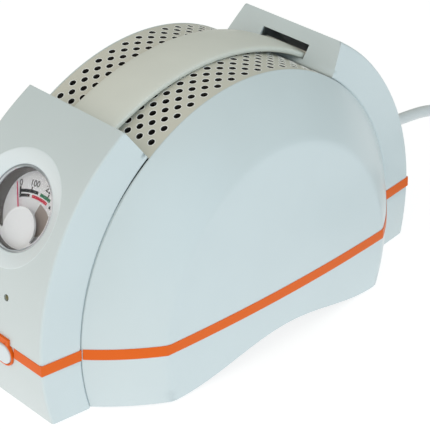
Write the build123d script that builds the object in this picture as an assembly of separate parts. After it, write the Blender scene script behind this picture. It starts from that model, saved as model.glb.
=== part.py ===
from build123d import *
import os
from math import asin, atan2, cos, degrees, hypot, pi, radians, sin, sqrt, tan

# Mains voltage regulator in an arched plastic case, with a voltmeter, a power
# button, a carry strap and a mains lead. Millimetres. +Z is up, X runs across
# the case and Y along it, with the meter at -Y. The origin is on the surface
# that the feet stand on, midway between them.

# ---- driving dimensions
FOOT = 2.0            # gap under the case, held by the rubber feet
WALL = 2.4            # moulded wall
GAP = 0.15            # seam between two mouldings
ARCH_R = 110.25       # arch of the cover and of the cheeks' rims, side view
ARCH_Z = 29.0         # height of that arch's centre
COVER_HALF = 38.4     # half width of the perforated cover
COVER_T = 1.5
COWL_R = 121.4        # sweep of the front and rear faces, side view
COWL_Y = 11.4         # that sweep's centre, ahead of the middle
COWL_Z = 31.6
LEAN = 35.0           # the cowls' inner walls, degrees from vertical
BASE_HALF = 42.6      # half width of a cowl's face at the bottom
DRAFT = 0.0615        # how much the half width shrinks for each mm of height
FLARE = 0.11          # how much a cowl widens for each mm towards the middle
EDGE_R = 1.6          # rounding of the cowls' outer edges
CREST_X = 71.4        # half width over the crowns of the cheeks
CREST_Z = 17.0        # height of the widest point
CROWN_SIDE_R = 540.0  # crown of a cheek's flat, end view
CROWN_PLAN_R = 1067.0  # crown of a cheek's flat, plan view
FLANK = [(42.9, 110.25), (56.55, 95.4), (68.55, 77.8)]  # x and radius on the flank
FLANK_TILT = 2.4      # the flank leans inwards, degrees
FLANK_Z = 34.0
BELLY = 11.3          # rise of the cheeks' lower edge at mid length
BELLY_HALF = 75.0
STRIPE = (30.9, 36.5)  # lower and upper edge of the accent stripe
STRIPE_T = 0.85
STRIPE_PROUD = 0.25
HOLE_D = 3.6          # perforation
HOLE_X = 4.13         # half pitch across the cover
HOLE_ARC = 4.58       # half pitch along the arch
STRAP_R = 132.0       # underside of the carry strap, side view
STRAP_Z = 7.8
STRAP_HALF = 15.3
STRAP_T = 2.7
STRAP_CROWN = 1.2
STRAP_END = 72.0      # how far along Y the strap's ends reach
METER_C = (0.0, -109.9, 95.0)  # centre of the meter's ring
METER_ELEV = 31.5     # which way the meter faces, degrees above level
METER_R = 21.0
DISH_R = 28.7         # mouth of the dish round the ring, on the swept face
DISH_T = 1.8
DIAL_DEPTH = 8.5
PIVOT_UP = -14.4      # the needle's pivot, below the ring's centre
NEEDLE_L = 28.0
NEEDLE_REST = 33.0    # degrees left of upright
NEEDLE_SWEEP = 63.0
BUTTON_Z = 30.4
BUTTON_HALF = (18.6, 5.2)
BUTTON_TRAVEL = 2.5
LED_X = 12.3
LED_Z = 59.6
SOCKET_ELEV = 25.0    # which way the outlet faces, degrees above level
SOCKET_RECESS_R = 19.6
SOCKET_DEPTH = 17.5
PIN_PITCH = 19.0
PIN_D = 4.8
BREAKER_X, BREAKER_Z = 27.0, 56.0
CORD_D = 7.0
COIL_C = (72.0, 216.0)
COIL_R = (25.0, 50.1)  # inside and outside of the wound lead
COIL_H = 14.3         # two layers
TOROID_R, TOROID_BORE, TOROID_H = 54.0, 20.0, 54.0
PAN_Z, PAN_T = 3.0, 2.0

# The free lead's route, from the strain relief to the coil and from the coil
# to the plug.
ROUTE = [(0, 163, 43.9), (0, 183, 42.8), (0.5, 202, 40.2), (2.6, 219, 34.4), (7.5, 234, 25.2),
         (15.8, 247, 14.6), (26.5, 257.5, 7), (40, 264.6, 4.2), (55, 268.6, 3.6), (72, 269.7, 3.6)]
TAIL = [(125.7, 216, 10.7), (125.8, 197, 10.8), (127.6, 178.9, 18.8), (129.5, 160, 18.8)]

os.makedirs("parts", exist_ok=True)
NODES = {}


def part(name, shape):
    """Keep one named node and write its STEP file."""
    shape.label = name
    NODES[name] = shape
    export_step(shape, f"parts/{name}.step")


def solids(*shapes):
    """Several separate solids as one node."""
    return Compound(children=[s for shape in shapes for s in shape.solids()])


def box(x0, x1, y0, y1, z0, z1):
    """A block between two corners."""
    return Pos((x0 + x1) / 2, (y0 + y1) / 2, (z0 + z1) / 2) * Box(x1 - x0, y1 - y0, z1 - z0)


def rod(plane, radius, low, high):
    """A cylinder along a plane's normal, between two heights above the plane."""
    return plane * (Pos(0, 0, (low + high) / 2) * Cylinder(radius, high - low))


def cone(plane, r_low, r_high, low, high):
    """A taper along a plane's normal."""
    return plane * (Pos(0, 0, (low + high) / 2) * Cone(r_low, r_high, high - low))


def both_ends(shape):
    """A shape and its mirror image across the middle of the case's length."""
    return shape, mirror(shape, about=Plane.XZ)


def face_plane(x, z, end):
    """A plane on a cowl's swept face at height z, its normal pointing out. end is -1 or 1."""
    elev = asin((z - COWL_Z) / COWL_R)
    origin = (x, end * (COWL_Y + COWL_R * cos(elev)), z)
    return Plane(origin=origin, x_dir=(-end, 0, 0), z_dir=(0, end * cos(elev), sin(elev)))


# ---- the case's outer forms

def cowl_form(inset):
    """The front cowl as a full block: straight across, swept in side view, drafted and flared."""
    sections = []
    for z in (-2, 14, 30, 46, 62, 78, 94, 108, 122, 138):
        y_face = -COWL_Y - sqrt((COWL_R - inset) ** 2 - (z - COWL_Z) ** 2)
        half = BASE_HALF - DRAFT * (z - FOOT) - inset
        back = -30.0
        wide = half + FLARE * (back - y_face)
        corners = [(-half, y_face, z), (half, y_face, z), (wide, back, z), (-wide, back, z)]
        sections.append(Wire.make_polygon([Vector(*c) for c in corners], close=True))
    return Solid.make_loft(sections)


def arch_form(radius, x0, x1):
    """A disc about the arch's axis, from x0 to x1."""
    return Pos((x0 + x1) / 2, 0, ARCH_Z) * (Rot(0, 90, 0) * Cylinder(radius, x1 - x0))


def inner_wall_cut(inset):
    """Everything behind a cowl's inner wall: a radial plane that leans by LEAN."""
    lean = radians(LEAN)
    plane = Plane(origin=(0, 0, ARCH_Z), x_dir=(1, 0, 0), z_dir=(0, cos(lean), sin(lean)))
    return plane * (Pos(0, 0, 100 - inset) * Box(300, 400, 200))


def circle_through(p, q, r):
    """Centre and radius of the circle through three points."""
    (ax, ay), (bx, by), (cx, cy) = p, q, r
    d = 2 * (ax * (by - cy) + bx * (cy - ay) + cx * (ay - by))
    a2, b2, c2 = ax * ax + ay * ay, bx * bx + by * by, cx * cx + cy * cy
    ux = (a2 * (by - cy) + b2 * (cy - ay) + c2 * (ay - by)) / d
    uy = (a2 * (cx - bx) + b2 * (ax - cx) + c2 * (bx - ax)) / d
    return (ux, uy), hypot(ax - ux, ay - uy)


def dome_form(inset):
    """The cheek's flank: an arc turned about the arch's axis, then tilted inwards."""
    (cx, cr), radius = circle_through(*FLANK)
    radius -= inset

    def on_arc(r):
        return (cx + sqrt(radius ** 2 - (r - cr) ** 2), r)

    low, mid, top = on_arc(125.0), on_arc(70.0), on_arc(0.0)
    outline = [Line((10, 0), (10, 125)), Line((10, 125), low),
               ThreePointArc(low, mid, top), Line(top, (10, 0))]
    profile = make_face(outline)
    body = Pos(0, 0, ARCH_Z) * revolve(profile, axis=Axis.X, revolution_arc=360)
    about = Pos(FLANK[0][0], 0, FLANK_Z)
    return about * (Rot(0, -FLANK_TILT, 0) * (about.inverse() * body))


def crown_form(inset):
    """The cheek's flat: a very shallow crown, in end view and in plan."""
    radius = CROWN_SIDE_R - inset
    cx = CREST_X - CROWN_SIDE_R

    def on_arc(z):
        return (cx + sqrt(radius ** 2 - (z - CREST_Z) ** 2), z)

    low, mid, top = on_arc(-8.0), on_arc(70.0), on_arc(150.0)
    outline = [Line((10, -8), low), ThreePointArc(low, mid, top), Line(top, (10, 150)), Line((10, 150), (10, -8))]
    profile = Plane.XZ * make_face(outline)
    axis = Axis((CREST_X - CROWN_PLAN_R, 0, 0), (0, 0, 1))
    swing = 15.0
    return revolve(profile, axis=axis, revolution_arc=swing).rotate(axis, -swing / 2)


def cheek_form(inset, radius):
    """Flank and flat together, inside the arch."""
    return dome_form(inset) & crown_form(inset) & arch_form(radius, 10, 90)


def belly_cut():
    """What is cut away under a cheek: a bell-shaped rise between the feet."""
    half, mid = BELLY_HALF, BELLY_HALF / 2
    crest, flank = FOOT + BELLY, FOOT + BELLY / 2
    curve = Spline([(-half, FOOT), (-mid, flank), (0, crest), (mid, flank), (half, FOOT)],
                   tangents=[(1, 0), (1, 0)])
    rest = Polyline([(half, FOOT), (half, -20), (-half, -20), (-half, FOOT)])
    face = Plane.YZ * make_face([curve, rest])
    return extrude(face, amount=100) + box(10, 100, -130, 130, -20, FOOT)


# ---- cowls, with their stripe, meter opening and fittings cut in

form = cowl_form(0)
skin = form - arch_form(ARCH_R + GAP, -100, 100) - inner_wall_cut(0) - box(-90, 90, -160, 0, -20, FOOT)
crown_edges = skin.edges().filter_by(Axis.X).sort_by(Axis.Z)[-1:]
side_edges = [e for e in skin.edges() if e.length > 120 and e.center().Y < -100]
skin = fillet(crown_edges + side_edges, EDGE_R)
hollow = cowl_form(WALL) - inner_wall_cut(WALL)
shell = skin - hollow

band = box(-90, 90, -160, 0, STRIPE[0], STRIPE[1])
stripe_ring = (cowl_form(-STRIPE_PROUD) & band) - cowl_form(STRIPE_T - STRIPE_PROUD)
stripe_ring = stripe_ring - arch_form(ARCH_R + 4 * GAP, -100, 100)
groove = (cowl_form(-1) & band) - cowl_form(STRIPE_T - STRIPE_PROUD) - arch_form(ARCH_R - 1, -100, 100)
shell = shell - groove

slot_mid = ARCH_R + 7.6
lean_plane = Plane(origin=(0, -slot_mid * sin(radians(LEAN)), ARCH_Z + slot_mid * cos(radians(LEAN))),
                   x_dir=(1, 0, 0), z_dir=(0, cos(radians(LEAN)), sin(radians(LEAN))))
slot = lean_plane * Box(33.0, 8.2, 8.0)
shell = shell - slot
front_shell, rear_shell = both_ends(shell)
front_stripe, rear_stripe = both_ends(stripe_ring)

# meter opening and the flared dish that fills it
elev = radians(METER_ELEV)
meter = Plane(origin=METER_C, x_dir=(1, 0, 0), z_dir=(0, -cos(elev), sin(elev)))


def face_rise(u):
    """Height of the swept face over the ring's plane, u above the ring's centre."""
    dy, dz = METER_C[1] + COWL_Y, METER_C[2] - COWL_Z
    out, up = dz * sin(elev) - dy * cos(elev), dz * cos(elev) + dy * sin(elev)
    return sqrt(COWL_R ** 2 - (u + up) ** 2) - out


def dish_surface(drop):
    """The dish's surface: level with the ring inside, running out on the face all round."""
    rows = []
    for i in range(-8, 9):
        row = []
        for k in range(-8, 9):
            x, u = 4.0 * i, 4.0 * k
            share = (x * x + u * u - METER_R ** 2) / (DISH_R ** 2 - METER_R ** 2)
            row.append(meter.from_local_coords((x, u, face_rise(u) * share - drop)))
        rows.append(row)
    return Face.make_surface_from_array_of_points(rows)


slab = extrude(dish_surface(DISH_T), amount=DISH_T, dir=meter.z_dir)
dish = (slab & rod(meter, DISH_R, -12, 12)) - rod(meter, METER_R + GAP, -15, 15)
front_shell = front_shell - rod(meter, DISH_R, -14, 10)

# power button and its orange surround, centred on the stripe
button_plane = Plane(origin=(0, -COWL_Y - COWL_R, BUTTON_Z), x_dir=(1, 0, 0), z_dir=(0, -1, 0))


def stadium(half_x, half_z, low, high):
    """A rounded slab across the front, between two depths."""
    shape = SlotOverall(2 * half_x, 2 * half_z)
    return button_plane * (Pos(0, 0, low) * extrude(shape, amount=high - low))


surround_hole = stadium(BUTTON_HALF[0] + 0.3, BUTTON_HALF[1] + 0.3, -8, 4)
surround = stadium(BUTTON_HALF[0] + 1.2, BUTTON_HALF[1] + 1.2, -3.6, 1.0) - surround_hole
brow = box(-17.3, 17.3, -COWL_Y - COWL_R - 1.0, -COWL_Y - COWL_R + 3.6, BUTTON_Z + 5.7, BUTTON_Z + 9.2)
surround = surround + (brow - surround_hole)
front_shell = front_shell - stadium(BUTTON_HALF[0] + 1.3, BUTTON_HALF[1] + 1.3, -8, 4) - brow
front_stripe = front_stripe - box(-20.4, 20.4, -140, -100, 20, 50)
nose = -COWL_Y - COWL_R
bracket = box(13, 15, nose + 1.6, nose + 26, BUTTON_Z - 11, BUTTON_Z + 12)
bracket = bracket - box(12, 16, nose, nose + 6.5, BUTTON_Z - 6.8, BUTTON_Z + 9.6)
front_shell = front_shell + bracket + mirror(bracket, about=Plane.YZ)

# indicator lamps
led_planes = [face_plane(x, LED_Z, -1) for x in (-LED_X, 0, LED_X)]
for plane in led_planes:
    front_shell = front_shell - rod(plane, 1.7, -6, 3)
board_plane = face_plane(0, LED_Z, -1)
for side in (-1, 1):
    front_shell = front_shell + (board_plane * (Pos(side * 17, 10, -5.5) * Cylinder(2.4, 7.1)))

# outlet, breaker and lead entry in the rear cowl
socket_z = COWL_Z + COWL_R * sin(radians(SOCKET_ELEV))
socket = face_plane(0, socket_z, 1)
breaker = face_plane(BREAKER_X, BREAKER_Z, 1)
lead_way = (Vector(*ROUTE[1]) - Vector(*ROUTE[0])).normalized()
gland_l = 31.2
gland = Plane(origin=Vector(*ROUTE[0]) - lead_way * gland_l, x_dir=(1, 0, 0), z_dir=lead_way)
rear_shell = rear_shell - rod(socket, 22.0, -12, 6) - rod(breaker, 5.1, -8, 5) - rod(gland, 5.1, -8, 6)

# posts for the case screws, moulded into the cowls' lower corners
POSTS = [(sx * 33.0, sy * 118.0) for sx in (-1, 1) for sy in (-1, 1)]
post_low, post_top = PAN_Z + PAN_T, 22.0
for x, y in POSTS:
    sx, sy = (1 if x > 0 else -1), (1 if y > 0 else -1)
    post = Pos(x, y, (post_low + post_top) / 2) * Cylinder(4.0, post_top - post_low)
    rib = box(min(x, sx * 40.6), max(x, sx * 40.6), y - 1, y + 1, post_low, post_top)
    web = box(x - 1, x + 1, min(y, sy * 127.6), max(y, sy * 127.6), post_low, post_top)
    grown = post + rib + web - Pos(x, y, post_low) * Cylinder(1.4, 20)
    if sy < 0:
        front_shell = front_shell + grown
    else:
        rear_shell = rear_shell + grown
part("front_cowl", front_shell)
part("rear_cowl", rear_shell)
part("front_cowl_stripe", solids(front_stripe))
part("rear_cowl_stripe", rear_stripe)

# ---- cheeks
skin = cheek_form(0, ARCH_R) - belly_cut() - box(-10, COVER_HALF + 0.1, -150, 150, -20, 180)
shell = skin - cheek_form(WALL, ARCH_R - WALL)
band = box(0, 100, -150, 150, STRIPE[0], STRIPE[1])
inlay = (cheek_form(-STRIPE_PROUD, ARCH_R - GAP) & band) - cheek_form(STRIPE_T - STRIPE_PROUD, ARCH_R + 2)
groove = (cheek_form(-2, ARCH_R + 2) & band) - cheek_form(STRIPE_T - STRIPE_PROUD, ARCH_R + 3)
shell = shell - groove
FEET = [(sx * 48.2, sy * 83.6) for sx in (-1, 1) for sy in (-1, 1)]
for x, y in FEET[2:]:
    post = Pos(x, y, 10.5) * Cylinder(4.0, 11.0) + box(x, 60.8, y - 1, y + 1, PAN_Z + PAN_T, 16)
    shell = shell + (post - Pos(x, y, 8) * Cylinder(1.4, 10))
part("right_cheek", shell)
part("left_cheek", mirror(shell, about=Plane.YZ))
part("right_cheek_stripe", inlay)
part("left_cheek_stripe", mirror(inlay, about=Plane.YZ))

# ---- perforated cover
cover_half_angle = LEAN - 0.12
sheet = arch_form(ARCH_R, -COVER_HALF, COVER_HALF) - arch_form(ARCH_R - COVER_T, -50, 50)
for end in (-1, 1):
    lean = radians(cover_half_angle)
    plane = Plane(origin=(0, 0, ARCH_Z), x_dir=(1, 0, 0), z_dir=(0, end * cos(lean), -sin(lean)))
    sheet = sheet - plane * (Pos(0, 0, 100) * Box(200, 500, 200))
sheet = sheet - box(-60, 60, -150, 150, -100, ARCH_Z)
holes = []
for k in range(-8, 9):
    for j in range(-13, 14):
        if (k + j) % 2:
            theta = degrees(j * HOLE_ARC / ARCH_R)
            drill = Pos(k * HOLE_X, 0, ARCH_R) * Cylinder(HOLE_D / 2, 8)
            holes.append(Pos(0, 0, ARCH_Z) * (Rot(-theta, 0, 0) * drill))
sheet = sheet.cut(*holes)
part("perforated_cover", sheet)

# ---- carry strap, resting just above the cover, and the stops on its ends
section = make_face([
    Line((-STRAP_HALF, 0), (STRAP_HALF, 0)), Line((STRAP_HALF, 0), (STRAP_HALF, STRAP_T)),
    ThreePointArc((STRAP_HALF, STRAP_T), (0, STRAP_T + STRAP_CROWN), (-STRAP_HALF, STRAP_T)),
    Line((-STRAP_HALF, STRAP_T), (-STRAP_HALF, 0))])
section = fillet(section.vertices(), 0.7)
strap_axis = Axis((0, 0, STRAP_Z), (1, 0, 0))
reach = degrees(asin(STRAP_END / STRAP_R))
section = Plane(origin=(0, 0, STRAP_Z + STRAP_R), x_dir=(1, 0, 0), z_dir=(0, -1, 0)) * section
strap = revolve(section, axis=strap_axis, revolution_arc=2 * reach).rotate(strap_axis, -reach)
part("carry_strap", strap)
stop_r = STRAP_R + STRAP_T / 2
stop = Pos(0, 0, stop_r) * Box(37.0, 3.0, 5.6)
stops = [Pos(0, 0, STRAP_Z) * (Rot(a, 0, 0) * stop) for a in (-reach - 0.66, reach + 0.66)]
part("strap_stops", solids(*stops))

# ---- voltmeter
part("meter_dish", dish)
part("meter_ring", rod(meter, METER_R, -1.6, 0) - rod(meter, METER_R - 1.4, -3, 1))
part("meter_glass", rod(meter, METER_R - 1.45, -1.6, -0.5))
case = rod(meter, METER_R, -26, -1.6) - rod(meter, METER_R - 1.7, -24.5, 0)
part("meter_case", case)
pivot = Plane(origin=meter.from_local_coords((0, PIVOT_UP, 0)), x_dir=(1, 0, 0), z_dir=meter.z_dir)
dial = rod(meter, METER_R - 1.7, -DIAL_DEPTH - 1.0, -DIAL_DEPTH) - rod(pivot, 1.6, -12, 0)
part("meter_dial", dial)
mask = (meter * (Pos(0, -23.0, -4.8) * Box(50, 20, 1.2))) + (meter * (Pos(0, -9.7, -4.8) * Cylinder(10.5, 1.2)))
mask = mask & rod(meter, METER_R - 1.8, -8, 0)
for side in (-1, 1):
    mask = mask + (meter * (Pos(side * 9.0, -15.0, -(DIAL_DEPTH + 5.4) / 2) * Cylinder(1.4, DIAL_DEPTH - 5.4)))
part("meter_mask", mask)
coil_frame = Pos(0, 0, -15) * Box(6.0, 1.6, 7.0)
spindle = Pos(0, 0, -13.2) * Cylinder(0.5, 14.4)
blade = Pos(0, NEEDLE_L / 2, -7.25) * Box(0.7, NEEDLE_L, 0.5)
boss = Pos(0, 0, -7.25) * Cylinder(1.3, 1.6)
tail_weight = Pos(0, -2.0, -7.25) * Box(1.6, 3.0, 0.8)
needle = Rot(0, 0, NEEDLE_REST) * (blade + boss + tail_weight + spindle)
part("meter_needle", pivot * needle)
part("meter_coil", pivot * (Rot(0, 0, NEEDLE_REST) * (coil_frame - Cylinder(0.5, 60))))
drum = rod(pivot, 4.6, -19.6, -10.4) + rod(pivot, 2.0, -24.5, -19.5) - rod(pivot, 3.9, -19, -10.9) - rod(pivot, 0.56, -30, 0)
part("meter_magnet", drum - rod(pivot, 1.0, -12, -9))

# ---- power button, switch and indicator board
part("switch_surround", surround)
cap = stadium(BUTTON_HALF[0], BUTTON_HALF[1], -3.0, 1.8)
cap = fillet(cap.faces().sort_by(Axis.Y)[0].edges(), 0.8)
stem = box(-4, 4, -COWL_Y - COWL_R + 2.9, -COWL_Y - COWL_R + 13, BUTTON_Z - 3, BUTTON_Z + 3)
part("power_button", cap + stem)
switch_y = -COWL_Y - COWL_R + 9
switch = box(-13, 13, switch_y, switch_y + 22, BUTTON_Z - 7, BUTTON_Z + 7)
switch = switch - box(-4.3, 4.3, switch_y - 1, switch_y + 8, BUTTON_Z - 3.3, BUTTON_Z + 3.3)
part("power_switch", switch)
lamps = [rod(p, 1.5, -9, -1.4) + (p * (Pos(0, 0, -1.4) * Sphere(1.5))) for p in led_planes]
part("indicator_lamps", solids(*lamps))
board = board_plane * (Pos(0, 3, -9.85) * Box(44, 24, 1.6))
part("indicator_board", board)

# ---- rear fittings
flange = (rod(socket, 25.0, -4, 2.2) + rod(socket, 21.8, -38, 0)) - mirror(cowl_form(-0.05), about=Plane.XZ)
core = rod(socket, 21.7, -38, -0.3)
outlet = flange + core
outlet = outlet - rod(socket, SOCKET_RECESS_R, 2.2 - SOCKET_DEPTH, 5)
for side in (-1, 1):
    hole = socket * (Pos(side * PIN_PITCH / 2, 0, 2.2 - SOCKET_DEPTH - 9.5) * Cylinder(PIN_D / 2 + 0.1, 19.4))
    rib = socket * (Pos(side * SOCKET_RECESS_R, 0, 2.2 - SOCKET_DEPTH / 2) * Box(3.0, 5.0, SOCKET_DEPTH))
    outlet = outlet - hole + (rib & rod(socket, 21.0, -20, 2.2))
clip_slots = [socket * (Pos(0, s * SOCKET_RECESS_R, -6.4) * Box(5.4, 2.6, 17.0)) for s in (-1, 1)]
for clip_slot in clip_slots:
    outlet = outlet - clip_slot
part("outlet", outlet)
clips = [socket * (Pos(0, s * (SOCKET_RECESS_R - 0.2), -6.4) * Box(5.0, 1.0, 16.6)) for s in (-1, 1)]
part("outlet_earth_clips", solids(*clips))
neck = rod(breaker, 4.9, -7, 3.9) + (breaker * (Pos(0, 0, -17) * Box(15, 15, 20)))
part("breaker_body", neck - rod(breaker, 3.6, -3, 8))
nut = breaker * (Pos(0, 0, 0.9) * extrude(RegularPolygon(8.0, 6), amount=2.4))
part("breaker_nut", nut - rod(breaker, 4.95, -1, 9))
part("breaker_button", rod(breaker, 3.3, -0.6, 4.4))
relief = cone(gland, 6.4, 4.3, 4.2, gland_l)
collar = rod(gland, 8.2, 1.6, 4.3) + rod(gland, 5.0, -6, 2)
grooves = [rod(gland, 9, y, y + 1.4) - rod(gland, 4.35 + 0.02 * (30 - y), y - 1, y + 3) for y in (9, 13, 17, 21, 25)]
strain_relief = relief + collar
for groove_ring in grooves:
    strain_relief = strain_relief - groove_ring
part("strain_relief", strain_relief)

# ---- base pan, feet and screws
half_outline = [(38.3, -126.4), (38.3, -101), (46.5, -96), (53.4, -85), (52.4, -70), (51, 0)]
right = half_outline + [(x, -y) for x, y in half_outline[-2::-1]]
outline = right + [(-x, y) for x, y in reversed(right)]
pan = extrude(Pos(0, 0, PAN_Z) * make_face(Polyline(outline, close=True)), amount=PAN_T)
for x, y in FEET + POSTS:
    pan = pan - Pos(x, y, PAN_Z) * Cylinder(1.7, 10)
part("base_pan", pan)
feet, screws = [], []
for x, y in FEET:
    foot = Pos(x, y, PAN_Z / 2) * Cylinder(7.2, PAN_Z)
    foot = foot - Pos(x, y, 0.4) * Cylinder(3.2, 1.6) - Pos(x, y, 1.5) * Cylinder(1.7, 4)
    feet.append(foot)
    screws.append((Pos(x, y, 0.85) * Cylinder(2.9, 0.7)) + (Pos(x, y, 6.0) * Cylinder(1.4, 10.0)))
part("rubber_feet", solids(*feet))
part("foot_screws", solids(*screws))
heads = [(Pos(x, y, 2.4) * Cylinder(3.0, 1.2)) + (Pos(x, y, 8.5) * Cylinder(1.4, 12.0)) for x, y in POSTS]
part("case_screws", solids(*heads))

# ---- transformer and boards
pan_top = PAN_Z + PAN_T
ground = Plane(origin=(0, 0, pan_top))
pads = [rod(ground, 40, low, low + 1.5) - rod(ground, 6, -1, 100) for low in (0, TOROID_H + 1.5)]
part("transformer_pads", solids(*pads))
winding = rod(ground, TOROID_R, 1.5, TOROID_H + 1.5) - rod(ground, TOROID_BORE, 0, 100)
winding = fillet(winding.edges().filter_by(GeomType.CIRCLE), 9.0)
kernel = rod(ground, TOROID_R - 8, 9.5, TOROID_H - 6.5) - rod(ground, TOROID_BORE + 8, 0, 100)
part("transformer_winding", winding - kernel)
part("transformer_core", kernel)
top = TOROID_H + 3.0
washer = rod(ground, 36, top, top + 2.0) - rod(ground, 4.2, 0, 100)
part("clamp_disc", washer)
bolt = rod(ground, 4.0, 0, top + 12) + (ground * (Pos(0, 0, top + 2) * extrude(RegularPolygon(8, 6), amount=6)))
part("clamp_bolt", bolt)
board_z = 12.0
part("control_board", box(-34, 34, -112, -58, board_z, board_z + 1.6))
standoffs = [Pos(sx * 30, y, (pan_top + board_z) / 2) * Cylinder(3.0, board_z - pan_top)
             for sx in (-1, 1) for y in (-107, -63)]
part("board_standoffs", solids(*standoffs))
on_board = board_z + 1.6
relays = [box(x - 7, x + 7, -98, -80, on_board, on_board + 16) for x in (-25, -8.5, 8.5, 25)]
part("relays", solids(*relays))
capacitors = [Pos(x, -71.5, on_board + 8) * Cylinder(4.6, 16) for x in (-20, -9, 9, 20)]
part("capacitors", solids(*capacitors))
part("terminal_block", box(-28, 28, 72, 88, pan_top, pan_top + 14)
     - Compound(children=[Pos(x, 80, pan_top + 12) * Cylinder(2.2, 8) for x in range(-22, 23, 11)]))

# ---- mains lead, coil and plug


def corner_radii(points):
    """The largest even bend at each corner of a route: 0.45 of the shorter run over tan(half turn)."""
    radii = []
    for a, b, c in zip(points, points[1:], points[2:]):
        into, out = Vector(*b) - Vector(*a), Vector(*c) - Vector(*b)
        turn = radians(into.get_angle(out))
        radii.append(0.45 * min(into.length, out.length) / tan(turn / 2))
    return radii


def lead(name, points):
    """A round lead along straight runs joined by tangent arcs."""
    radii = corner_radii(points)
    path = FilletPolyline(*points, radius=radii)
    start = Plane(origin=path @ 0, z_dir=path % 0)
    tube = sweep(start * Circle(CORD_D / 2), path=path)
    ideal = pi * CORD_D ** 2 / 4 * path.length
    print(f"{name}: length {path.length:.0f} mm, bends {min(radii):.0f} to {max(radii):.0f} mm, "
          f"volume {tube.volume / ideal:.3f} of section times length")
    part(name, tube)


lead("mains_cord", ROUTE)
lead("mains_cord_tail", TAIL)
coil_plane = Plane(origin=(COIL_C[0], COIL_C[1], 0))
coil = rod(coil_plane, COIL_R[1], 0, COIL_H) - rod(coil_plane, COIL_R[0], -1, 50)
part("mains_cord_coil", coil)
tie_t, tie_turn = 1.2, 15.0
coil_mid, coil_w = (COIL_R[0] + COIL_R[1]) / 2, COIL_R[1] - COIL_R[0]
loop = Pos(coil_mid, (COIL_H + tie_t) / 2) * Rectangle(coil_w + 2 * tie_t, COIL_H + tie_t)
loop = loop - Pos(coil_mid, COIL_H / 2) * Rectangle(coil_w, COIL_H)
tie = revolve(Plane.XZ * loop, axis=Axis.Z, revolution_arc=tie_turn)
part("cord_tie", coil_plane * (Rot(0, 0, -70) * tie))
plug_way = (Vector(*TAIL[-1]) - Vector(*TAIL[-2])).normalized()
plug = Plane(origin=TAIL[-1], x_dir=(-plug_way.Y, plug_way.X, 0), z_dir=plug_way)
body = cone(plug, 4.4, 6.6, 0, 22) + cone(plug, 12.5, 18.6, 21.9, 34) + rod(plug, 18.6, 33.9, 56)
for side in (-1, 1):
    body = body - (plug * (Pos(side * 19.0, 0, 48) * Box(5.0, 5.6, 17)))
body = body - (plug * (Pos(0, 19.4, 50) * Box(6.0, 4.4, 14))) - (plug * (Pos(0, -19.4, 50) * Box(6.0, 4.4, 14)))
part("plug_body", body)
pins = [plug * (Pos(s * PIN_PITCH / 2, 0, 0) * (Pos(0, 0, 65.5) * Cylinder(PIN_D / 2, 19.0))) for s in (-1, 1)]
pins = [fillet(p.edges().sort_by(Axis(TAIL[-1], plug_way))[-1], 1.2) for p in pins]
part("plug_pins", solids(*pins))
strips = [plug * (Pos(0, s * 17.5, 50) * Box(5.0, 0.6, 12)) for s in (-1, 1)]
part("plug_earth_strips", solids(*strips))
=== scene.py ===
import math

import bmesh
import bpy
import numpy as np
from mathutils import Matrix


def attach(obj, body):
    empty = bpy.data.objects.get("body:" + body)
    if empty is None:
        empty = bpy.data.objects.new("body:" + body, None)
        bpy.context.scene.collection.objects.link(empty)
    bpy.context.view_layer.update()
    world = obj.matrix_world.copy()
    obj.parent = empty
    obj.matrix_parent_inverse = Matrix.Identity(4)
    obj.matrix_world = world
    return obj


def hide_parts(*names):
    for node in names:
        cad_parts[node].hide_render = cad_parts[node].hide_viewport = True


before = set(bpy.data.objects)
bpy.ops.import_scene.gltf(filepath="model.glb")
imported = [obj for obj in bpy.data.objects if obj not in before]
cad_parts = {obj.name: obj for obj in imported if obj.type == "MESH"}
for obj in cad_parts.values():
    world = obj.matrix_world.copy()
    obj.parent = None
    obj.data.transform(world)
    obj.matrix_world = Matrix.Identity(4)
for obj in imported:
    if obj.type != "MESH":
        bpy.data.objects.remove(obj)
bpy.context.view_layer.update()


# ---------------------------------------------------------------------------
# Camera, floor and light. A long lens looks down at the front right corner.
# The floor is a pale board with no visible edge. A cool softbox stands on the
# right, a weaker warm one at the front left, and a warm one above and in front.

MM = 0.001
AIM = np.array([0.0, 0.01959, 0.03906])
STAND_OFF = 0.82615
TURN, TILT, ROLL = (math.radians(a) for a in (44.8229, 30.6415, 1.2355))
LENS_MM, SENSOR_MM = 128.9, 36.0
FLOOR_HALF, FLOOR_Z = 3.0, -0.0002


def hex_linear(text, alpha=1.0):
    """An sRGB hex colour as linear light, with alpha."""
    srgb = np.array([int(text[i:i + 2], 16) for i in (0, 2, 4)]) / 255
    linear = np.where(srgb <= 0.04045, srgb / 12.92, ((srgb + 0.055) / 1.055) ** 2.4)
    return (*linear.tolist(), alpha)


def add(tree, kind, sockets=None, **settings):
    """Adds one shader node with its settings, socket values and incoming links."""
    made = tree.nodes.new("ShaderNode" + kind)
    for key, value in settings.items():
        setattr(made, key, value)
    for key, value in (sockets or {}).items():
        if isinstance(value, bpy.types.NodeSocket):
            tree.links.new(value, made.inputs[key])
        else:
            made.inputs[key].default_value = value
    return made


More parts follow.
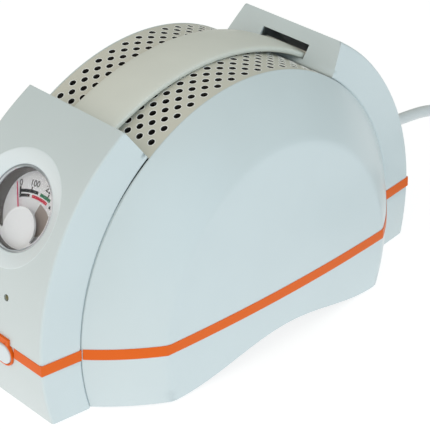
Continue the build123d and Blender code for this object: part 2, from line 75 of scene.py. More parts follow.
def place_camera():
    """The camera stands off along the line of sight from the aim, then rolls about that line."""
    back = np.array([math.sin(TURN) * math.cos(TILT), -math.cos(TURN) * math.cos(TILT), math.sin(TILT)])
    right = np.array([math.cos(TURN), math.sin(TURN), 0.0])
    up = np.cross(back, right)
    c, s = math.cos(ROLL), math.sin(ROLL)
    pose = np.eye(4)
    pose[:3, 0], pose[:3, 1], pose[:3, 2] = c * right + s * up, c * up - s * right, back
    pose[:3, 3] = AIM + back * STAND_OFF
    eye = bpy.data.objects.new("camera", bpy.data.cameras.new("camera"))
    eye.data.lens, eye.data.sensor_width = LENS_MM, SENSOR_MM
    eye.data.clip_start, eye.data.clip_end = 0.01, 20.0
    bpy.context.scene.collection.objects.link(eye)
    eye.matrix_world = pose.T.tolist()
    bpy.context.scene.camera = eye


def softbox(name, at, aim, size, watts, colour):
    """A square area light at a point, facing another point."""
    lamp = bpy.data.lights.new(name, "AREA")
    lamp.shape, lamp.size, lamp.energy, lamp.color = "SQUARE", size, watts, hex_linear(colour)[:3]
    holder = bpy.data.objects.new(name, lamp)
    bpy.context.scene.collection.objects.link(holder)
    holder.location = at
    way = np.array(aim, float) - np.array(at, float)
    tilt = math.atan2(math.hypot(way[0], way[1]), -way[2])
    holder.rotation_euler = (tilt, 0.0, math.atan2(way[0], -way[1]) + math.pi)


def sheet_mesh(name, points, closed_u=False, closed_v=False):
    """A grid of points (rows, columns, 3) in metres as a quad mesh object, joined round where closed."""
    rows, cols = points.shape[:2]
    index = np.arange(rows * cols).reshape(rows, cols)
    i = np.r_[index, index[:1]] if closed_u else index
    i = np.c_[i, i[:, :1]] if closed_v else i
    quads = np.stack([i[:-1, :-1], i[1:, :-1], i[1:, 1:], i[:-1, 1:]], -1).reshape(-1, 4)
    mesh = bpy.data.meshes.new(name)
    mesh.from_pydata(points.reshape(-1, 3), [], quads)
    made = bpy.data.objects.new(name, mesh)
    bpy.context.scene.collection.objects.link(made)
    return made


place_camera()
edges = (-FLOOR_HALF, FLOOR_HALF)
floor = sheet_mesh("floor", np.array([[[x, y, FLOOR_Z] for x in edges] for y in edges]))
# Matt card gives an even pale ground with no highlight. It also gives off a
# little light of its own, so that it stays pale where the lamps don't reach.
board = bpy.data.materials.new("matt white card")
board.use_nodes = True
shader = board.node_tree.nodes["Principled BSDF"]
shader.inputs["Base Color"].default_value = hex_linear("9a9b9b")
shader.inputs["Roughness"].default_value = 0.9
shader.inputs["Emission Color"].default_value = hex_linear("ffffff")
shader.inputs["Emission Strength"].default_value = 0.82
floor.data.materials.append(board)

softbox("window right", (1.6, -0.3, 0.75), (0, 0, 0.06), 1.5, 8.2, "bbe3ff")
softbox("window front", (-0.7, -1.7, 0.9), (0, 0, 0.06), 1.2, 3.6, "fff0ea")
softbox("ceiling", (0.6, -1.2, 1.5), (0, 0, 0), 1.2, 8.0, "fff0e2")
world = bpy.data.worlds.new("studio")
bpy.context.scene.world = world
world.use_nodes = True
air = world.node_tree.nodes["Background"]
air.inputs["Color"].default_value = hex_linear("f4fbf5")
air.inputs["Strength"].default_value = 0.46
bpy.context.scene.view_settings.view_transform = "Standard"


# ---------------------------------------------------------------------------
# Case mouldings: front and rear cowls. Injection-moulded ABS, sprayed in a
# pale satin silver-grey, with a fine spark texture from the tool.

DRIFT_MM, GRAIN_COARSER = 45.45, 2.5


def moulded(name, colour, roughness=0.42, grain_mm=0.45, relief_mm=0.012, mottle=0.035, **sockets):
    """A moulded or sprayed surface: a slow drift of tone over the part and an even grain in relief.

    The tone swings about once in DRIFT_MM. The real grain is too fine to show, so it is drawn
    GRAIN_COARSER times as coarse as it is.
    """
    made = bpy.data.materials.new(name)
    made.use_nodes = True
    tree = made.node_tree
    shader = tree.nodes["Principled BSDF"]
    place = add(tree, "TexCoord").outputs["Object"]
    drift = add(tree, "TexNoise", {"Vector": place, "Scale": 1000 / DRIFT_MM, "Detail": 3.0,
                                   "Roughness": 0.55})
    base = hex_linear(colour)
    tones = add(tree, "ValToRGB", {"Fac": drift.outputs["Fac"]})
    dark, light = tones.color_ramp.elements
    dark.position, light.position = 0.3, 0.7
    dark.color = (*[c * (1 - mottle) for c in base[:3]], 1)
    light.color = (*[min(1, c * (1 + mottle)) for c in base[:3]], 1)
    tree.links.new(tones.outputs["Color"], shader.inputs["Base Color"])
    coarse = 1000 / (grain_mm * GRAIN_COARSER)
    grain = add(tree, "TexNoise", {"Vector": place, "Scale": coarse, "Detail": 2.0})
    bump = add(tree, "Bump", {"Height": grain.outputs["Fac"], "Distance": relief_mm * MM, "Strength": 0.6})
    tree.links.new(bump.outputs["Normal"], shader.inputs["Normal"])
    shader.inputs["Roughness"].default_value = roughness
    for key, value in sockets.items():
        shader.inputs[key.replace("_", " ")].default_value = value
    return made


def smooth_copy(node, name, material, slot, body, crease=32.0, edge_mm=0.0):
    """A CAD solid's skin with its triangles welded, shaded smooth up to a crease angle, edges broken."""
    made = bpy.data.objects.new(name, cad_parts[node].data.copy())
    bpy.context.scene.collection.objects.link(made)
    skin = bmesh.new()
    skin.from_mesh(made.data)
    bmesh.ops.remove_doubles(skin, verts=skin.verts, dist=2e-6)
    bmesh.ops.dissolve_degenerate(skin, edges=skin.edges, dist=1e-6)
    skin.to_mesh(made.data)
    skin.free()
    made.data.materials.clear()
    made.data.materials.append(material)
    made.data.shade_smooth()
    made.data.set_sharp_from_angle(angle=math.radians(crease))
    flats = made.modifiers.new("level flats", "WEIGHTED_NORMAL")
    flats.keep_sharp = True
    if edge_mm:
        broken = made.modifiers.new("broken edges", "BEVEL")
        broken.width, broken.segments, broken.limit_method = edge_mm * MM, 2, "ANGLE"
        broken.angle_limit, broken.harden_normals = math.radians(crease), True
    return finish_piece(made, slot, body, node)


def finish_piece(made, slot, body, *nodes):
    """Rides a piece on its body and hides the CAD nodes that it stands for. Its slot is not used."""
    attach(made, body)
    if nodes:
        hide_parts(*nodes)
    return made


# Satin paint gives a soft broad highlight over a tone that hardly varies.
case_grey = moulded("sprayed satin ABS", "d4ddde", 0.3, mottle=0.014)
for end in ("front", "rear"):
    smooth_copy(f"{end}_cowl", f"{end}_cowl_skin", case_grey, "case_plastic", "housing", crease=22)


# ---------------------------------------------------------------------------
# Cheeks. Each is one ABS moulding, a shallow dome turned about the arch's
# axis, cut by a nearly flat crown, with a bell-shaped rise under its middle.

ARCH_Z, RIM_R, RIM_X = 29.0, 110.36, 38.5
BELLY_LOW, BELLY_RISE, BELLY_HALF = 2.0, 11.3, 75.0
DOME_X, DOME_R = (42.9, 56.55, 68.55), (110.25, 95.4, 77.8)
LEAN, LEAN_Z = math.radians(2.4), 34.0
CREST_X, CREST_Z, CROWN_SIDE, CROWN_PLAN = 71.4, 17.0, 540.0, 1067.0
CREASE, CHEEK_WALL = 0.7, 1.6


def dome_arc():
    """Centre and radius of the circle through three points on the dome's profile, in (x, radius)."""
    x, r = np.array(DOME_X), np.array(DOME_R)
    left = np.c_[2 * x, 2 * r, np.ones(3)]
    cx, cr, c = np.linalg.solve(left, x ** 2 + r ** 2)
    return cx, cr, math.sqrt(c + cx ** 2 + cr ** 2)


def cheek_x(y, z):
    """Half width of the case at (y, z): the lower of leaning dome and crown, blended at the crease."""
    cx, cr, radius = dome_arc()
    x = np.full_like(y, 55.0)
    for _ in range(6):
        back = LEAN_Z - (x - DOME_X[0]) * math.sin(LEAN) + (z - LEAN_Z) * math.cos(LEAN)
        r = np.hypot(y, back - ARCH_Z)
        x0 = cx + np.sqrt(radius ** 2 - (r - cr) ** 2)
        x = DOME_X[0] + (x0 - DOME_X[0] - (z - LEAN_Z) * math.sin(LEAN)) / math.cos(LEAN)
    rho = CROWN_PLAN - CROWN_SIDE + np.sqrt(CROWN_SIDE ** 2 - (z - CREST_Z) ** 2)
    crown = CREST_X - CROWN_PLAN + np.sqrt(rho ** 2 - y ** 2)
    share = np.clip(0.5 + 0.5 * (crown - x) / CREASE, 0, 1)
    return crown * (1 - share) + x * share - CREASE * share * (1 - share)


def belly_z(y):
    """Lower edge of a cheek: a cosine-squared bell between the feet."""
    bell = np.cos(math.pi * y / (2 * BELLY_HALF)) ** 2
    return BELLY_LOW + BELLY_RISE * np.where(abs(y) < BELLY_HALF, bell, 0)


def cheek_grid(side):
    """Rays from the arch's centre out to the rim or the lower edge, then a return lip inwards."""
    corner = math.asin((BELLY_LOW - ARCH_Z) / RIM_R)
    over = np.linspace(corner, math.pi - corner, 190)
    under = np.linspace(math.pi - corner, 2 * math.pi + corner, 250)[1:-1]
    ray = np.r_[over, under]
    reach = np.full_like(ray, RIM_R)
    low = np.arange(len(ray)) >= len(over)
    for _ in range(30):
        edge = (belly_z(reach * np.cos(ray)) - ARCH_Z) / np.where(low, np.sin(ray), -1)
        reach = np.where(low, 0.5 * reach + 0.5 * np.minimum(edge, RIM_R), reach)
    share = np.r_[np.linspace(0.0, 0.96, 56), 0.975, 0.985, 0.993, 0.998, 1.0]
    y = np.outer(share, reach * np.cos(ray))
    z = ARCH_Z + np.outer(share, reach * np.sin(ray))
    x = cheek_x(y, z)
    lip_x = np.where(low, x[-1] - 2.6, np.minimum(RIM_X, x[-1] - 0.6))
    down = np.where(low, 1.0, 0.985)
    x = np.r_[x, [x[-1] - 0.25], [lip_x], [lip_x]]
    y = np.r_[y, y[-1:], y[-1:], [y[-1] * down]]
    z = np.r_[z, z[-1:], z[-1:], [ARCH_Z + (z[-1] - ARCH_Z) * down + 0.02 * low]]
    grid = np.stack([side * x, y, z], -1) * MM
    return grid[:, ::-1] if side > 0 else grid


def close_pole(made, side):
    """Merges the rays where they meet at the pole and turns the faces away from the case."""
    skin = bmesh.new()
    skin.from_mesh(made.data)
    bmesh.ops.remove_doubles(skin, verts=skin.verts, dist=1e-6)
    bmesh.ops.recalc_face_normals(skin, faces=skin.faces)
    if side * sum(f.normal.x * f.calc_area() for f in skin.faces) < 0:
        bmesh.ops.reverse_faces(skin, faces=skin.faces)
    skin.to_mesh(made.data)
    skin.free()


# The unpainted inner wall is dull ABS, darkened as painted shade so the openings look deep.
inner_wall_shade_abs = moulded("bare ABS inside the case, darkened as painted shade", "3a332d", 0.6)
for side, name in ((1, "right"), (-1, "left")):
    cheek = sheet_mesh(f"{name}_cheek_skin", cheek_grid(side), closed_v=True)
    close_pole(cheek, side)
    cheek.data.materials.append(case_grey)
    cheek.data.materials.append(inner_wall_shade_abs)
    cheek.data.shade_smooth()
    cheek.data.set_sharp_from_angle(angle=math.radians(32))
    wall = cheek.modifiers.new("wall", "SOLIDIFY")
    wall.thickness, wall.offset, wall.material_offset = CHEEK_WALL * MM, -1.0, 1
    finish_piece(cheek, "case_plastic", "housing", f"{name}_cheek")


# ---------------------------------------------------------------------------
# Accent stripe. Thin orange ABS strips pressed into a groove that runs round
# all four mouldings at one height. The cheeks' skins here have no groove.

# Colour right through the plastic gives a strong even orange with a weak highlight.
orange = moulded("orange pigmented ABS", "ea6400", 0.45, mottle=0.02, Specular_IOR_Level=0.3)
for name in ("front_cowl_stripe", "rear_cowl_stripe", "right_cheek_stripe", "left_cheek_stripe"):
    smooth_copy(name, f"{name}_inlay", orange, "accent_orange", "housing")


# ---------------------------------------------------------------------------
# Perforated cover. Painted steel sheet rolled to the arch, punched in a
# staggered pattern. The punch leaves a fine raised lip round each hole,
# painted pale as a highlight.

# Stove enamel, tinted warmer than the mouldings: painted light, the warm grey tone
# that its upward face takes from the lamps above. On the lips it is painted pale as a
# highlight, and the walls that the punch cut are painted dark as shade in the holes.
sheet_paint = moulded("stove enamel on steel, tinted warm as painted light", "dad7ca", 0.45, grain_mm=0.7, mottle=0.03)
lip_highlight_paint = moulded("pale enamel on a punched lip as painted highlight", "faf9f4", 0.35)
smooth_copy("perforated_cover", "perforated_cover_sheet", sheet_paint, "cover_metal", "housing", crease=25)
COVER_R, PUNCH_R, PITCH_X, PITCH_ARC, LIP_SIDES = 110.25, 1.8, 4.13, 4.58, 16


def punch_lips():
    """Each hole's sheared wall and raised lip: a profile turned about every staggered place on the arch."""
    k, j = np.meshgrid(np.arange(-8, 9), np.arange(-13, 14))
    odd = (k + j) % 2 == 1
    across, swing = (k[odd] * PITCH_X)[:, None, None], (j[odd] * PITCH_ARC / COVER_R)[:, None, None]
    turn = np.linspace(0, 2 * math.pi, LIP_SIDES, endpoint=False)[:, None]
    radius = PUNCH_R + np.array([-0.05, -0.05, 0.02, 0.24, 0.38])
    height = np.array([-1.6, -0.12, 0.06, 0.09, -0.02])
    x = across + (np.cos(turn) * radius)[None]
    r = COVER_R + height
    angle = swing + (np.sin(turn) * radius)[None] / COVER_R
    points = np.stack([x, r * np.sin(angle), ARCH_Z + r * np.cos(angle)], -1) * MM
    index = np.arange(points.size // 3).reshape(-1, LIP_SIDES, len(height))
    ahead = np.roll(index, -1, axis=1)
    quads = np.stack([index[..., :-1], index[..., 1:], ahead[..., 1:], ahead[..., :-1]], -1).reshape(-1, 4)
    return points.reshape(-1, 3), quads


lips = bpy.data.meshes.new("punched_lips")
lip_points, lip_faces = punch_lips()
lips.from_pydata(lip_points, [], lip_faces)
punched = bpy.data.objects.new("punched_lips", lips)
bpy.context.scene.collection.objects.link(punched)
# The lips' pale enamel is a painted highlight round each hole.
lips.materials.append(lip_highlight_paint)
# The walls that the punch cut are painted dark: painted shade inside each hole.
lips.materials.append(moulded("sheared steel edge painted dark as shade", "2e2925", 0.6))
lips.polygons.foreach_set("material_index", np.tile([1, 0, 0, 0], len(lips.polygons) // 4))
lips.shade_smooth()
finish_piece(punched, "cover_metal", "housing")


# ---------------------------------------------------------------------------
# Carry strap. A crowned band of soft satin PVC that lies over the cover and
# runs into a slot at each end. Its end stops are moulded on.

STRAP_R, STRAP_Z, STRAP_HALF, STRAP_T, STRAP_CROWN, STRAP_END = 132.0, 7.8, 15.3, 2.7, 1.2, 72.0
STRAP_ROUND = 0.9
# Satin PVC gives a creamy tone and a soft sheen.
strap_pvc = moulded("satin PVC strap", "e6e6dc", 0.4, grain_mm=0.9, mottle=0.03)


def strap_outline(count=14):
    """Cross-section of the strap: flat below, crowned above, with quarter-round edges."""
    top = np.linspace(-STRAP_HALF + STRAP_ROUND, STRAP_HALF - STRAP_ROUND, count)
    crown = STRAP_T + STRAP_CROWN * (1 - (top / STRAP_HALF) ** 2)
    bend = np.linspace(90, -90, 9)[1:-1]
    half = STRAP_T / 2
    right_x = STRAP_HALF - STRAP_ROUND + STRAP_ROUND * np.cos(np.radians(bend))
    right_h = half + (half + 0.05) * np.sin(np.radians(bend))
    low = np.linspace(STRAP_HALF - STRAP_ROUND, -STRAP_HALF + STRAP_ROUND, 8)
    x = np.r_[top, right_x, low, -right_x[::-1]]
    h = np.r_[crown, right_h, np.zeros(8), right_h[::-1]]
    return x, h


def close_ends(made):
    """Fills the two open ends of a tube and turns its faces outwards."""
    ends = bmesh.new()
    ends.from_mesh(made.data)
    bmesh.ops.holes_fill(ends, edges=[e for e in ends.edges if e.is_boundary], sides=0)
    bmesh.ops.recalc_face_normals(ends, faces=ends.faces)
    ends.to_mesh(made.data)
    ends.free()


strap_x, strap_h = strap_outline()
reach = math.asin(STRAP_END / STRAP_R)
swing = np.linspace(-reach, reach, 90)[:, None]
radius = STRAP_R + strap_h[None]
band = np.stack([np.broadcast_to(strap_x, radius.shape) + 0 * swing, radius * np.sin(swing),
                 STRAP_Z + radius * np.cos(swing)], -1) * MM
strap = sheet_mesh("carry_strap_band", band, closed_v=True)
close_ends(strap)
strap.data.materials.append(strap_pvc)
strap.data.shade_smooth()
strap.data.set_sharp_from_angle(angle=math.radians(50))
finish_piece(strap, "strap_plastic", "strap", "carry_strap")
smooth_copy("strap_stops", "strap_end_stops", strap_pvc, "strap_plastic", "strap", edge_mm=0.4)


# ---------------------------------------------------------------------------
# Voltmeter bezel and ring. An ABS dish, tinted pale as painted light, runs from
# the face down to a stepped ring of bright plated brass round the window.

METER_UP = math.radians(31.5)
METER = np.array([0.0, -109.9, 95.0])
METER_X = np.array([1.0, 0.0, 0.0])
METER_U = np.array([0.0, math.sin(METER_UP), math.cos(METER_UP)])
METER_N = np.array([0.0, -math.cos(METER_UP), math.sin(METER_UP)])
RING_R, MOUTH_R = 21.0, 28.7
FACE_R, FACE_Y, FACE_Z = 121.4, -11.4, 31.6


def on_meter(x, u, n, centre=METER):
    """Points given across, up and out of the meter's plane, in metres in the row frame."""
    x, u, n = np.broadcast_arrays(x, u, n)
    return (centre + x[..., None] * METER_X + u[..., None] * METER_U + n[..., None] * METER_N) * MM


def face_rise(u):
    """Height of the swept face over the ring's plane, u above the ring's centre."""
    dy, dz = METER[1] - FACE_Y, METER[2] - FACE_Z
    out = dz * math.sin(METER_UP) - dy * math.cos(METER_UP)
    up = dz * math.cos(METER_UP) + dy * math.sin(METER_UP)
    return np.sqrt(FACE_R ** 2 - (u + up) ** 2) - out


turn = np.linspace(0, 2 * math.pi, 144, endpoint=False)[None]
share = np.r_[-0.25, 0.0, np.linspace(0.03, 0.97, 14), 1.0, 1.03][:, None]
radius = np.clip(RING_R + 0.1 + (MOUTH_R + 0.15 - RING_R) * share, RING_R + 0.1, None)
rise = face_rise(radius * np.sin(turn)) * np.clip(share, 0, 1) + np.where(share < 0, -2.0, 0)
rise = rise + np.where(share > 1, -0.35, np.where(share > 0.99, 0.06, 0.1 * (share > 0)))
dish_points = on_meter(radius * np.cos(turn), radius * np.sin(turn), rise)
dish = sheet_mesh("meter_dish_skin", dish_points, closed_v=True)
# Smoother ABS than the case, tinted paler and cooler: painted light for the bright, cool light on the
# dish's slopes.
dish.data.materials.append(moulded("satin ABS tinted pale and cool as painted light", "e6eef1", 0.3, mottle=0.01))
dish.data.shade_smooth()
finish_piece(dish, "bezel_plastic", "housing", "meter_dish")


def turned(name, profile, material, steps=144, centre=METER, closed=True):
    """A profile of (radius, height) points turned about the meter's axis."""
    angle = np.linspace(0, 2 * math.pi, steps, endpoint=False)[None]
    r, n = np.array(profile, float).T[:, :, None]
    points = on_meter(r * np.cos(angle), r * np.sin(angle), n, centre)
    made = sheet_mesh(name, points, closed_u=closed, closed_v=True)
    skin = bmesh.new()
    skin.from_mesh(made.data)
    bmesh.ops.recalc_face_normals(skin, faces=skin.faces)
    skin.to_mesh(made.data)
    skin.free()
    made.data.materials.append(material)
    made.data.shade_smooth()
    made.data.set_sharp_from_angle(angle=math.radians(35))
    return made


# Plate over polished brass reflects sharply, so the steps show as light and dark rings.
plating = moulded("bright nickel plate", "d3d6da", 0.14, grain_mm=0.2, relief_mm=0.002, mottle=0.02,
                  Metallic=1.0)
ring_steps = [(21.0, -1.6), (21.0, -0.25), (20.85, 0.0), (20.6, 0.02), (20.5, -0.3), (20.2, -0.32),
              (20.1, 0.0), (19.8, 0.05), (19.6, -0.2), (19.6, -1.6)]
ring = turned("meter_ring_plated", ring_steps, plating)
finish_piece(ring, "ring_chrome", "housing", "meter_ring")

# Clear acrylic is nearly invisible apart from a sharp glint.
glass = bpy.data.materials.new("clear acrylic window")
glass.use_nodes = True
shader = glass.node_tree.nodes["Principled BSDF"]
clear = {"Base Color": hex_linear("ffffff"), "Roughness": 0.03, "IOR": 1.49,
         "Transmission Weight": 1.0, "Alpha": 0.05}
for key, value in clear.items():
    shader.inputs[key].default_value = value
window_edge = [(0.02, -1.35), (19.55, -1.35), (19.55, -0.6), (19.2, -0.5), (0.02, -0.5)]
window = turned("meter_window", window_edge, glass, closed=False)
finish_piece(window, "clear_window", "housing", "meter_glass")
# Phenolic is dull, and darkened as painted shade in the recess round the card,
# which sets off the white card in front of it.
phenolic_darkened_shade = moulded("warm grey phenolic, darkened as painted shade", "5f5a58", 0.5)
smooth_copy("meter_case", "meter_case_shell", phenolic_darkened_shade, "meter_black", "housing")


# ---------------------------------------------------------------------------
# Dial. A white enamelled card with printed arcs and numbers, seen behind the
# window, and a needle that swings over it from a pivot low in the case.

PIVOT_DOWN, CARD_N = -14.4, -8.5
PIVOT = METER + METER_U * PIVOT_DOWN
# Enamelled card is a clean white, and the inks on it are flat, with no shine.
card_white = moulded("white enamelled card", "f1f2f7", 0.5, mottle=0.01)
ink_colours = {"black": "24262b", "green": "2f7d5b", "red": "d5304c", "taupe_painted_shade": "a89c97"}
inks = {name: moulded(f"{name} printing ink", colour, 0.6, mottle=0.01)
        for name, colour in ink_colours.items()}
card_edge = [(0.02, CARD_N), (19.25, CARD_N), (19.25, CARD_N - 1.0)]
card = turned("meter_dial_card", card_edge, card_white, closed=False)
finish_piece(card, "dial_card", "housing", "meter_dial")
ARC_FROM = METER + METER_U * -24.0 + METER_X * 2.0


def printed_arc(name, r_in, r_out, start, end, ink, centre=ARC_FROM, lift=0.05, steps=28):
    """A band of ink between two radii and two angles about a centre, with right of upright positive."""
    angle = np.radians(np.linspace(start, end, steps))[None]
    r = np.array([r_in, r_out])[:, None]
    grid = on_meter(r * np.sin(angle), r * np.cos(angle), CARD_N + lift, centre)
    made = sheet_mesh(name, grid)
    made.data.materials.append(inks[ink])
    body = made.modifiers.new("ink", "SOLIDIFY")
    body.thickness, body.offset = 0.04 * MM, 0.0
    return finish_piece(made, "dial_card", "housing")


for name, r_in, r_out, start, end, ink in (
        ("scale_zero_bar", 29.6, 35.0, -26.3, -24.6, "black"),
        ("scale_low_outer", 32.0, 33.6, -25.1, -4.4, "black"),
        ("scale_good_outer", 31.9, 33.5, -1.7, 11.4, "green"),
        ("scale_high_outer", 32.0, 33.6, 14.6, 18.2, "black"),
        ("scale_low_inner", 29.8, 31.3, -26.4, -13.8, "black"),
        ("scale_good_inner", 29.8, 31.3, -10.6, 9.6, "red"),
        ("scale_high_inner", 29.8, 31.3, 13.6, 17.6, "black"),
        ("scale_tick_100", 33.4, 35.0, -13.2, -12.0, "black"),
        ("scale_tick_220", 33.4, 35.0, 6.6, 7.7, "black")):
    printed_arc(name, r_in, r_out, start, end, ink)
# The taupe band is painted shade: the shadow over the card's lower part beside the hub, laid on as ink.
printed_arc("movement_painted_shade", 5.0, 19.4, 10.0, 62.0, "taupe_painted_shade", centre=PIVOT)


def printed_number(text, angle, r, height, ink="black"):
    """A number set along the arc: a flat outline made a mesh and laid on the card."""
    letters = bpy.data.curves.new(f"number_{text}", "FONT")
    letters.body, letters.size, letters.align_x = text, height * 1.42, "CENTER"
    letters.extrude, letters.offset = 0.02, 0.06
    shape = bpy.data.objects.new(f"number_{text}", letters)
    bpy.context.scene.collection.objects.link(shape)
    bpy.context.view_layer.update()
    mesh = bpy.data.meshes.new_from_object(shape.evaluated_get(bpy.context.evaluated_depsgraph_get()))
    bpy.data.objects.remove(shape)
    flat = np.empty(len(mesh.vertices) * 3)
    mesh.vertices.foreach_get("co", flat)
    flat = flat.reshape(-1, 3)
    a = math.radians(angle)
    x, u = flat[:, 0], flat[:, 1] + r - height / 2
    place = on_meter(x * math.cos(a) + u * math.sin(a), u * math.cos(a) - x * math.sin(a),
                     CARD_N + 0.05 + flat[:, 2], ARC_FROM)
    mesh.vertices.foreach_set("co", place.ravel())
    made = bpy.data.objects.new(f"number_{text}", mesh)
    bpy.context.scene.collection.objects.link(made)
    mesh.materials.clear()
    mesh.materials.append(inks[ink])
    return finish_piece(made, "dial_card", "housing")


for text, angle in (("0", -25.0), ("100", -10.4), ("220", 6.6)):
    printed_number(text, angle, 36.9, 3.0)


# ---------------------------------------------------------------------------
# Needle, its mask and the movement. The needle is red lacquered aluminium;
# a white moulded mask hides its pivot and the foot of the card.

# Polished styrene is the brightest white in the meter, with a small sharp highlight.
mask_white = moulded("glossy white styrene", "f3f4f8", 0.22, mottle=0.01)
smooth_copy("meter_mask", "meter_mask_cover", mask_white, "mask_white", "housing", edge_mm=0.35)
hub = turned("meter_hub_dome", [(0.02, -3.75), (4.0, -3.8), (7.5, -3.95), (9.3, -4.2)], mask_white,
             centre=METER - 9.7 * METER_U, closed=False)
finish_piece(hub, "mask_white", "housing")

NEEDLE_REST, NEEDLE_L, NEEDLE_N = -33.0, 28.0, -7.25
along = np.linspace(-3.4, NEEDLE_L, 24)[:, None]
half = np.interp(along, [-3.4, 0, 5, NEEDLE_L], [0.9, 0.7, 0.5, 0.22])
edge = np.array([[-1, 0.0], [-1, 0.3], [1, 0.3], [1, 0.0]])
a = math.radians(NEEDLE_REST)
nx, nu = half * edge[None, :, 0].repeat(len(along), 0), along + 0 * edge[None, :, 0]
across = nx * math.cos(a) + nu * math.sin(a)
upward = nu * math.cos(a) - nx * math.sin(a)
height = NEEDLE_N - 0.15 + edge[None, :, 1] + 0 * nu
needle = sheet_mesh("needle_blade", on_meter(across, upward, height, PIVOT), closed_v=True)
close_ends(needle)
# Lacquer over bright metal gives a pinkish red; the turned boss is plain brass.
needle.data.materials.append(moulded("red lacquer on aluminium", "e0527a", 0.35))
finish_piece(needle, "needle_red", "needle", "meter_needle")
boss_edge = [(0.02, NEEDLE_N + 0.5), (1.6, NEEDLE_N + 0.45), (1.9, NEEDLE_N + 0.1),
             (1.9, NEEDLE_N - 0.7), (0.02, NEEDLE_N - 0.7)]
spindle_brass = moulded("hard brass spindle", "b89a5a", 0.3, Metallic=1.0)
boss = turned("needle_boss", boss_edge, spindle_brass, steps=40, centre=PIVOT, closed=False)
finish_piece(boss, "needle_red", "needle")


# ---------------------------------------------------------------------------
# Power button and its surround. A white polished cap stands in an orange
# moulded ring with a brow that joins it to the stripe.

smooth_copy("switch_surround", "switch_surround_ring", orange, "accent_orange", "housing", edge_mm=0.25)
# Polished ABS has a tighter highlight than the satin case. The switch behind it is
# dull nylon, and an unlit lamp looks like dark smoked amber.
cap_white = moulded("polished white ABS", "dfe8ec", 0.25, mottle=0.01)
smooth_copy("power_button", "power_button_cap", cap_white, "button_white", "button")
switch_nylon = moulded("black nylon", "17181a", 0.5)
smooth_copy("power_switch", "power_switch_case", switch_nylon, "switch_black", "housing", edge_mm=0.4)
smoked_lens = moulded("smoked lens over a lamp that is off", "6f6b45", 0.3)
smooth_copy("indicator_lamps", "indicator_lamp_lenses", smoked_lens, "lamp_lens", "housing")


# ---------------------------------------------------------------------------
# Outlet, breaker and strain relief at the rear. Black thermoset outlet with
# brass earth clips, a screw-ring breaker, and a ribbed PVC sleeve on the lead.

# Thermoset is near black with a soft shine; zinc plate is a grey metal, the clips
# are a yellow one, and the lead's PVC is pale and satin.
thermoset = moulded("black urea moulding", "232426", 0.33, mottle=0.05)
zinc = moulded("zinc-plated steel", "b9bcbd", 0.3, grain_mm=0.3, Metallic=1.0)
brass = moulded("sprung brass", "c9a45c", 0.28, Metallic=1.0)
lead_pvc = moulded("pale grey PVC", "dfe2e2", 0.42, grain_mm=0.5, mottle=0.015)
smooth_copy("outlet", "outlet_moulding", thermoset, "socket_black", "housing", edge_mm=0.3)
smooth_copy("outlet_earth_clips", "outlet_clips", brass, "spring_brass", "housing")
smooth_copy("breaker_body", "breaker_sleeve", thermoset, "switch_black", "housing", edge_mm=0.2)
smooth_copy("breaker_nut", "breaker_ring_nut", zinc, "zinc_steel", "housing", edge_mm=0.3)
reset_pin = moulded("black reset pin", "1d1e20", 0.35)
smooth_copy("breaker_button", "breaker_reset_pin", reset_pin, "switch_black", "breaker_reset", edge_mm=0.4)
smooth_copy("strain_relief", "strain_relief_sleeve", lead_pvc, "lead_pvc", "housing", edge_mm=0.2)


# ---------------------------------------------------------------------------
# Base. Painted steel pan, rubber feet and their screws. The pan stops short of
# the cheeks, so a slot stays open along each side.

# Powder coat is an even grey with a pebbled texture, and rubber is black and dull.
powder = moulded("grey powder coat", "aeb3b5", 0.5, grain_mm=0.8)
rubber = moulded("black rubber", "1b1b1c", 0.75, grain_mm=0.8)
for node, name, finish, slot, edge in (
        ("base_pan", "base_pan_sheet", powder, "pan_steel", 0.3),
        ("rubber_feet", "foot_pads", rubber, "foot_rubber", 0.5),
        ("foot_screws", "foot_screw_heads", zinc, "zinc_steel", 0.2),
        ("case_screws", "case_screw_heads", zinc, "zinc_steel", 0.2)):
    smooth_copy(node, name, finish, slot, "housing", edge_mm=edge)


# ---------------------------------------------------------------------------
# Inside the case: toroidal transformer on rubber pads, boards and fittings.
# They show through the perforations and past the pan, and keep their CAD shapes.

# Dark varnished windings and steel, with bright zinc fittings and coloured parts.
within = {
    "meter_coil": moulded("enamelled copper wire", "9a5a34", 0.35, Metallic=1.0),
    "meter_magnet": moulded("sintered magnet steel", "5c5d60", 0.4, Metallic=1.0),
    "indicator_board": moulded("glass-epoxy laminate", "2c6a43", 0.45),
    "transformer_pads": moulded("black neoprene", "1e1e1f", 0.8),
    "transformer_winding": moulded("polyester-wrapped copper", "5a4630", 0.45, grain_mm=2.0, relief_mm=0.1),
    "transformer_core": moulded("grain-oriented silicon steel", "4b4c4e", 0.5, Metallic=1.0),
    "clamp_disc": zinc, "clamp_bolt": zinc, "board_standoffs": zinc,
    "control_board": moulded("green solder mask", "1f5a38", 0.4),
    "relays": moulded("blue nylon relay case", "274a8a", 0.4),
    "capacitors": moulded("shrunk PVC sleeve", "23262f", 0.35),
    "terminal_block": moulded("ivory polyamide", "ddd8c8", 0.5),
}
for node, finish in within.items():
    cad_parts[node].data.materials.clear()
    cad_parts[node].data.materials.append(finish)


# ---------------------------------------------------------------------------
# Mains lead. Round PVC flex, 1.45 m of it: it leaves the rear through the
# sleeve, sinks to the floor, and the rest is wound up beside its plug.

ROUTE = [(0, 163, 43.9), (0, 183, 42.8), (0.5, 202, 40.2), (2.6, 219, 34.4), (7.5, 234, 25.2),
         (15.8, 247, 14.6), (26.5, 257.5, 7), (39, 262.5, 4.2), (55, 265, 3.6)]
TAIL = [(120.5, 204, 10.8), (124.5, 192, 13.5), (127.6, 178.9, 18.6), (129.5, 160, 18.8)]
COIL_AT, COIL_OUT, COIL_PITCH, COIL_TURNS = np.array([72.0, 216.0]), 46.5, 7.2, 2.5
LEAD_D, LEAD_M, LAYER_LOW, LAYER_HIGH = 7.0, 1.45, 3.6, 10.8
PER_TURN = 16


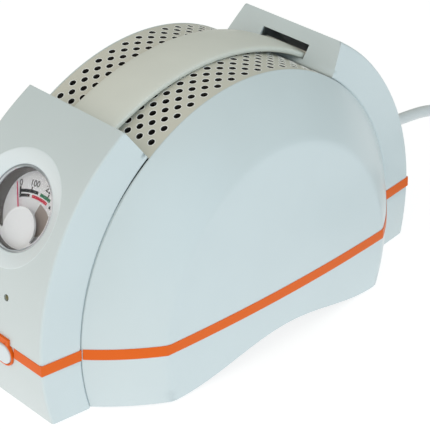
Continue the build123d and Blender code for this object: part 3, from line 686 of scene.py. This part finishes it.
def coil_points():
    """Two flat spirals one on the other: inwards on the floor, a quarter turn up, outwards on top."""
    sweep = 2 * COIL_TURNS + 0.25
    turn = np.arange(1, int(sweep * PER_TURN)) / PER_TURN
    inward = COIL_OUT - COIL_PITCH * np.clip(turn, 0, COIL_TURNS)
    outward = COIL_PITCH * np.clip(turn - COIL_TURNS - 0.25, 0, COIL_TURNS)
    radius = (inward + outward) / math.cos(math.pi / PER_TURN)
    angle = math.pi / 2 - 2 * math.pi * turn
    lift = LAYER_LOW + (LAYER_HIGH - LAYER_LOW) * np.clip((turn - COIL_TURNS) / 0.25, 0, 1)
    return np.c_[COIL_AT[0] + radius * np.cos(angle), COIL_AT[1] + radius * np.sin(angle), lift]


points = np.r_[np.array(ROUTE, float), coil_points(), np.array(TAIL, float)] * MM
line = bpy.data.curves.new("mains_lead", "CURVE")
line.dimensions, line.bevel_depth, line.bevel_resolution = "3D", LEAD_D / 2 * MM, 6
spline = line.splines.new("NURBS")
spline.points.add(len(points) - 1)
spline.points.foreach_set("co", np.c_[points, np.ones(len(points))].ravel())
spline.order_u, spline.use_endpoint_u, spline.resolution_u = 3, True, 8
line.use_fill_caps = True
line.materials.append(lead_pvc)
lead = bpy.data.objects.new("mains_lead", line)
bpy.context.scene.collection.objects.link(lead)
finish_piece(lead, "lead_pvc", "housing", "mains_cord", "mains_cord_tail", "mains_cord_coil")


# ---------------------------------------------------------------------------
# Lead tie and plug. A black polythene band straps the coil down; the plug is
# PVC moulded straight on to the lead, with plated pins and earth springs.

TIE_FROM, TIE_TO = math.radians(-70), math.radians(-55)
TIE_PROFILE = [(47.0, 0.1), (47.2, 5.5), (45.2, 12.6), (43.2, 14.4),
               (31.0, 14.4), (28.8, 13.2), (25.4, 6.5), (25.1, 0.1)]


def tie_band():
    """The profile over the turns, rounded by spacing points along it, swept about the coil's axis."""
    corner = np.array(TIE_PROFILE)
    run = np.r_[0, np.cumsum(np.hypot(*np.diff(corner, axis=0).T))]
    along = np.linspace(0, run[-1], 60)
    r, z = np.interp(along, run, corner[:, 0]), np.interp(along, run, corner[:, 1])
    turn = np.linspace(TIE_FROM, TIE_TO, 10)[:, None]
    return np.stack([COIL_AT[0] + r * np.cos(turn), COIL_AT[1] + r * np.sin(turn), z + 0 * turn], -1) * MM


tie = sheet_mesh("lead_tie", tie_band())
# Polythene is black with a waxy, weak shine.
tie.data.materials.append(moulded("black polythene tie", "1f2022", 0.5))
band = tie.modifiers.new("band", "SOLIDIFY")
band.thickness, band.offset = 1.0 * MM, 1.0
tie.data.shade_smooth()
finish_piece(tie, "foot_rubber", "housing", "cord_tie")
plug = smooth_copy("plug_body", "mains_plug_body", lead_pvc, "lead_pvc", "housing", edge_mm=0.5)
pins = smooth_copy("plug_pins", "mains_plug_pins", zinc, "zinc_steel", "housing")
strips = smooth_copy("plug_earth_strips", "mains_plug_strips", brass, "spring_brass", "housing")
